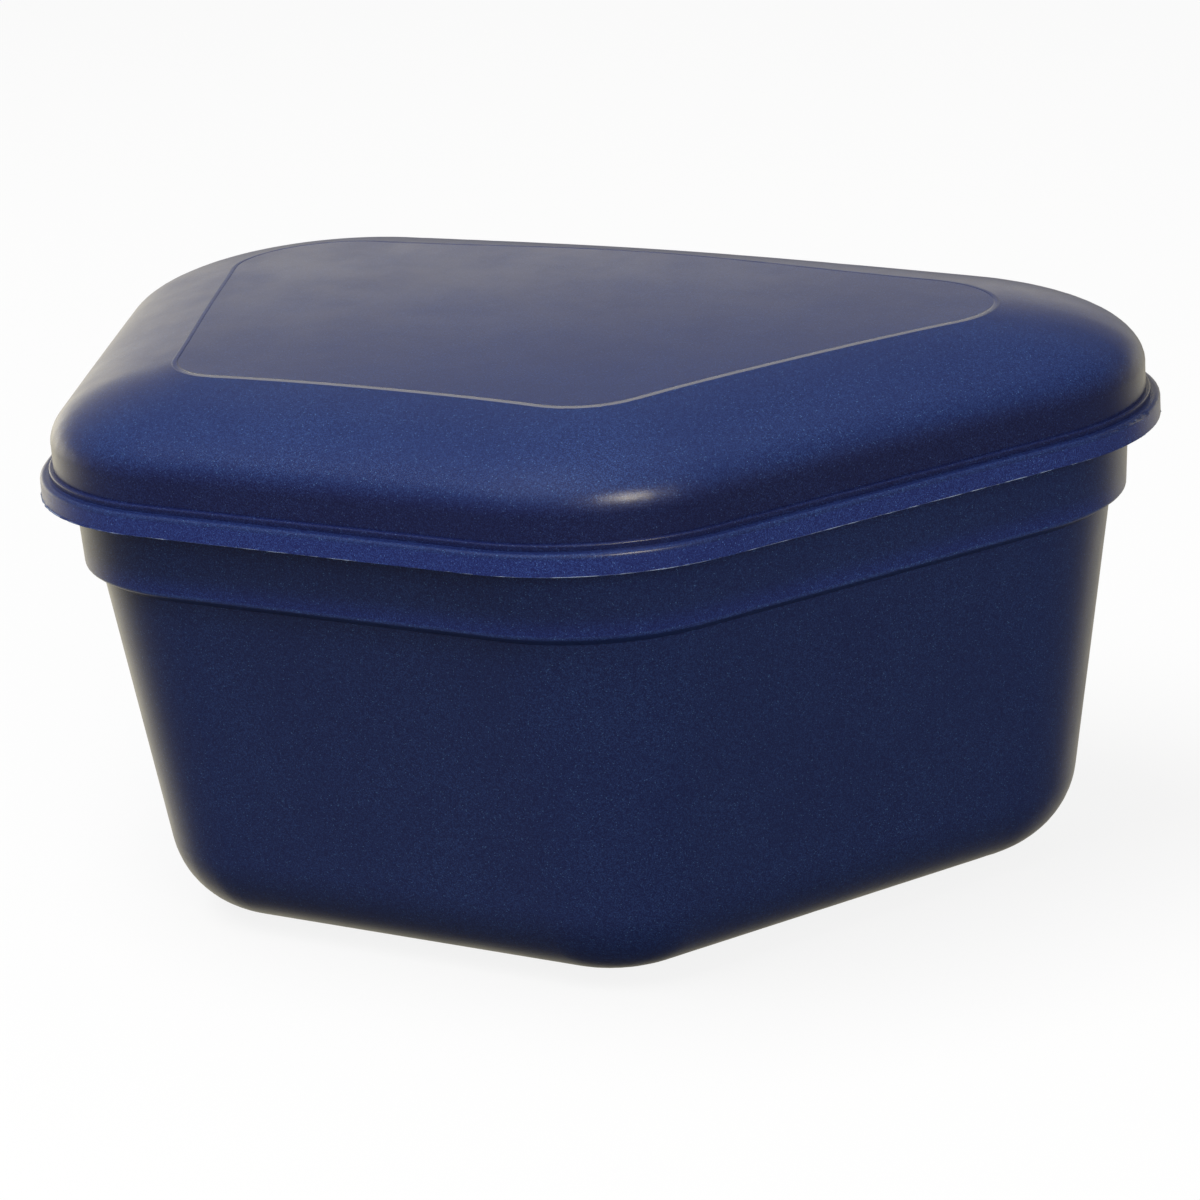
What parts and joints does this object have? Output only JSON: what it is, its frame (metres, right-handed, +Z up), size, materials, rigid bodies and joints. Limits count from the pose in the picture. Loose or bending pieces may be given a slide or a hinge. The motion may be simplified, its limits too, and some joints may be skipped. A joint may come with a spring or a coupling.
{
  "type": "denture case",
  "caption": "Lidded case, wide at the back and narrow at the front, with a hanging strainer basket and a lift-off cover, for soaking and storing a denture.",
  "frame": {"origin": "middle of the foot, in the plane it stands on, under the centre of the overall outline", "axes": "+X to the right seen from the narrow front, +Y from the narrow front to the wide back, +Z up along the way the lid lifts"},
  "size_m": [0.105, 0.075, 0.0521],
  "materials": {
    "tub": "satin, dark navy with a fine pearl flake",
    "strainer": "satin, dark navy with a fine pearl flake",
    "lid": "satin, dark navy with a fine pearl flake"
  },
  "bodies": {
    "tub": {"tub": "tub"},
    "strainer": {"strainer": "strainer"},
    "lid": {"lid": "lid"}
  },
  "joints": [
    {"name": "strainer_lift", "type": "slide", "parent": "tub", "child": "strainer", "axis": [0, 0, 1], "range_m": [0, 0.06]},
    {"name": "lid_lift", "type": "slide", "parent": "strainer", "child": "lid", "axis": [0, 0, 1], "range_m": [0, 0.06]}
  ]
}
